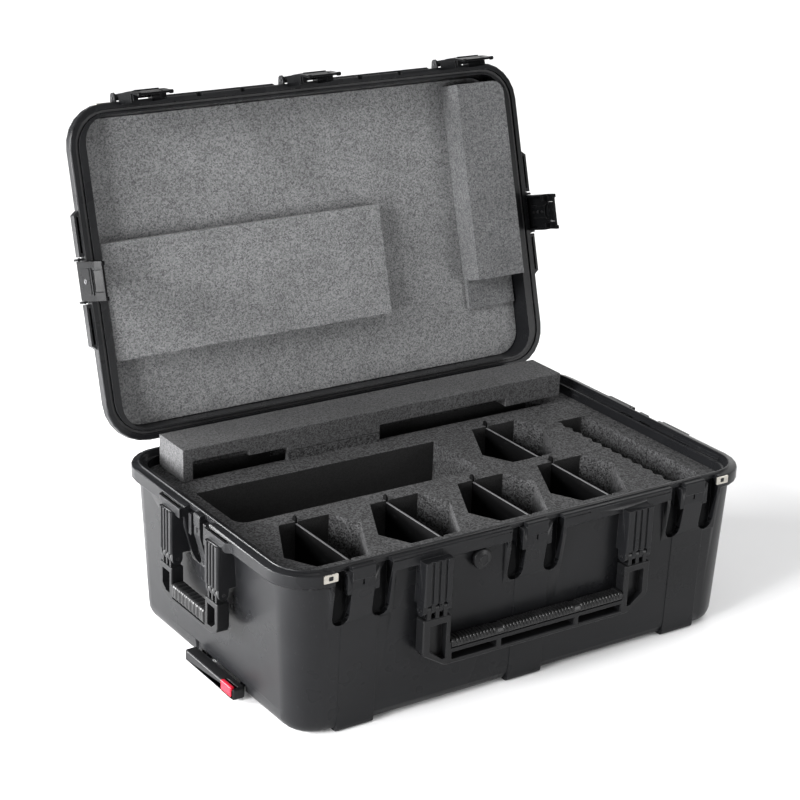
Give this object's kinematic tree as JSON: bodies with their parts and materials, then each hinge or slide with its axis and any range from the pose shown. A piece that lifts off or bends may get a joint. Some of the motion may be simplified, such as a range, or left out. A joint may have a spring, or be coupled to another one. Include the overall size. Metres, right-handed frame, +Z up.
{
  "type": "drone carrying case",
  "caption": "Wheeled hard-shell carrying case with a hinged lid, over-centre latches, folding handles, a pull-out trolley and cut foam for a folding drone.",
  "frame": {"origin": "centre of the case's footprint, on the floor under the trolley cover", "axes": "+Z up, +X along the case towards the wheels, -Y towards the front with the long handle; the trolley handle is at -X"},
  "size_m": [0.8196, 0.7047, 0.7514],
  "materials": {
    "shell": "satin, fine moulded texture",
    "latch": "satin",
    "handle": "satin",
    "grip": "soft, ribbed",
    "gasket": "matte",
    "base_foam": "closed-cell foam, fine grain",
    "rear_foam": "dense foam, fine grain",
    "lid_foam": "closed-cell foam, speckled",
    "divider": "plain sheet",
    "steel": "bright",
    "tube": "satin",
    "button": "smooth",
    "wheel": "satin",
    "tyre": "matte"
  },
  "bodies": {
    "case": {"base_shell": "shell", "pressure_valve": "latch", "base_hasp_left": "steel", "base_hasp_right": "steel", "hinge_pin_left": "tube", "hinge_pin_middle": "tube", "hinge_pin_right": "tube", "front_handle_pin_a": "tube", "front_handle_pin_b": "tube", "left_handle_pin_a": "tube", "left_handle_pin_b": "tube", "right_handle_pin_a": "tube", "right_handle_pin_b": "tube", "trolley_cover": "shell", "wheel_axle_front": "tube", "wheel_axle_rear": "tube", "base_foam": "base_foam", "divider_1": "divider", "divider_2": "divider", "divider_3": "divider", "divider_4": "divider", "divider_5": "divider", "rear_foam_block": "rear_foam"},
    "lid": {"lid_shell": "shell", "lid_gasket": "gasket", "lid_hasp_left": "steel", "lid_hasp_right": "steel", "lid_foam_sheet": "lid_foam", "lid_foam_long_block": "lid_foam", "lid_foam_tall_block": "lid_foam"},
    "latch_front_left": {"latch_front_left": "latch", "latch_front_left_pin": "steel"},
    "latch_front_left_trigger": {"latch_front_left_trigger": "latch"},
    "latch_front_middle": {"latch_front_middle": "latch", "latch_front_middle_pin": "steel"},
    "latch_front_middle_trigger": {"latch_front_middle_trigger": "latch"},
    "latch_front_right": {"latch_front_right": "latch", "latch_front_right_pin": "steel"},
    "latch_front_right_trigger": {"latch_front_right_trigger": "latch"},
    "latch_left": {"latch_left": "latch", "latch_left_pin": "steel"},
    "latch_left_trigger": {"latch_left_trigger": "latch"},
    "latch_right": {"latch_right": "latch", "latch_right_pin": "steel"},
    "latch_right_trigger": {"latch_right_trigger": "latch"},
    "front_handle": {"front_handle": "handle", "front_grip": "grip"},
    "left_handle": {"left_handle": "handle", "left_grip": "grip"},
    "right_handle": {"right_handle": "handle", "right_grip": "grip"},
    "trolley_outer": {"trolley_outer_frame": "tube"},
    "trolley_inner": {"trolley_inner_tube_front": "tube", "trolley_inner_tube_rear": "tube", "trolley_handle": "handle"},
    "trolley_button": {"trolley_button": "button"},
    "wheel_front": {"wheel_hub_front": "wheel", "wheel_tyre_front": "tyre"},
    "wheel_rear": {"wheel_hub_rear": "wheel", "wheel_tyre_rear": "tyre"}
  },
  "joints": [
    {"name": "lid_hinge", "type": "hinge", "parent": "case", "child": "lid", "pos_m": [0, 0.256, 0.244], "axis": [1, 0, 0], "range_deg": [0, 105.8]},
    {"name": "latch_front_left_hinge", "type": "hinge", "parent": "lid", "child": "latch_front_left", "pos_m": [-0.282, 0.40614, 0.7305], "axis": [-1, 0, 0], "range_deg": [0, 110]},
    {"name": "latch_front_left_trigger_hinge", "type": "hinge", "parent": "latch_front_left", "child": "latch_front_left_trigger", "pos_m": [-0.282, 0.35505, 0.74828], "axis": [1, 0, 0], "range_deg": [0, 8], "stiffness_Nm_per_rad": 0.05},
    {"name": "latch_front_middle_hinge", "type": "hinge", "parent": "lid", "child": "latch_front_middle", "pos_m": [0, 0.40614, 0.7305], "axis": [-1, 0, 0], "range_deg": [0, 110]},
    {"name": "latch_front_middle_trigger_hinge", "type": "hinge", "parent": "latch_front_middle", "child": "latch_front_middle_trigger", "pos_m": [0, 0.35505, 0.74828], "axis": [1, 0, 0], "range_deg": [0, 8], "stiffness_Nm_per_rad": 0.05},
    {"name": "latch_front_right_hinge", "type": "hinge", "parent": "lid", "child": "latch_front_right", "pos_m": [0.282, 0.40614, 0.7305], "axis": [-1, 0, 0], "range_deg": [0, 110]},
    {"name": "latch_front_right_trigger_hinge", "type": "hinge", "parent": "latch_front_right", "child": "latch_front_right_trigger", "pos_m": [0.282, 0.35505, 0.74828], "axis": [1, 0, 0], "range_deg": [0, 8], "stiffness_Nm_per_rad": 0.05},
    {"name": "latch_left_hinge", "type": "hinge", "parent": "lid", "child": "latch_left", "pos_m": [-0.401, 0.33671, 0.48514], "axis": [0, -0.2723, -0.9622], "range_deg": [0, 110]},
    {"name": "latch_left_trigger_hinge", "type": "hinge", "parent": "latch_left", "child": "latch_left_trigger", "pos_m": [-0.4042, 0.28475, 0.49984], "axis": [0, 0.2723, 0.9622], "range_deg": [0, 8], "stiffness_Nm_per_rad": 0.05},
    {"name": "latch_right_hinge", "type": "hinge", "parent": "lid", "child": "latch_right", "pos_m": [0.401, 0.33671, 0.48514], "axis": [0, 0.2723, 0.9622], "range_deg": [0, 110]},
    {"name": "latch_right_trigger_hinge", "type": "hinge", "parent": "latch_right", "child": "latch_right_trigger", "pos_m": [0.4042, 0.28475, 0.49984], "axis": [0, -0.2723, -0.9622], "range_deg": [0, 8], "stiffness_Nm_per_rad": 0.05},
    {"name": "front_handle_hinge", "type": "hinge", "parent": "case", "child": "front_handle", "pos_m": [0, -0.251, 0.16], "axis": [-1, 0, 0], "range_deg": [0, 90]},
    {"name": "left_handle_hinge", "type": "hinge", "parent": "case", "child": "left_handle", "pos_m": [-0.399, 0.002, 0.16], "axis": [0, 1, 0], "range_deg": [0, 90]},
    {"name": "right_handle_hinge", "type": "hinge", "parent": "case", "child": "right_handle", "pos_m": [0.399, 0.002, 0.16], "axis": [0, -1, 0], "range_deg": [0, 90]},
    {"name": "trolley_outer_slide", "type": "slide", "parent": "case", "child": "trolley_outer", "axis": [-1, 0, 0], "range_m": [0, 0.23]},
    {"name": "trolley_inner_slide", "type": "slide", "parent": "trolley_outer", "child": "trolley_inner", "axis": [-1, 0, 0], "range_m": [0, 0.23]},
    {"name": "trolley_button_press", "type": "slide", "parent": "trolley_inner", "child": "trolley_button", "axis": [1, 0, 0], "range_m": [0, 0.003], "stiffness_N_per_m": 200},
    {"name": "wheel_front_spin", "type": "hinge", "parent": "case", "child": "wheel_front", "pos_m": [0.35, -0.165, 0.029], "axis": [0, 1, 0], "continuous": true},
    {"name": "wheel_rear_spin", "type": "hinge", "parent": "case", "child": "wheel_rear", "pos_m": [0.35, 0.165, 0.029], "axis": [0, 1, 0], "continuous": true}
  ]
}
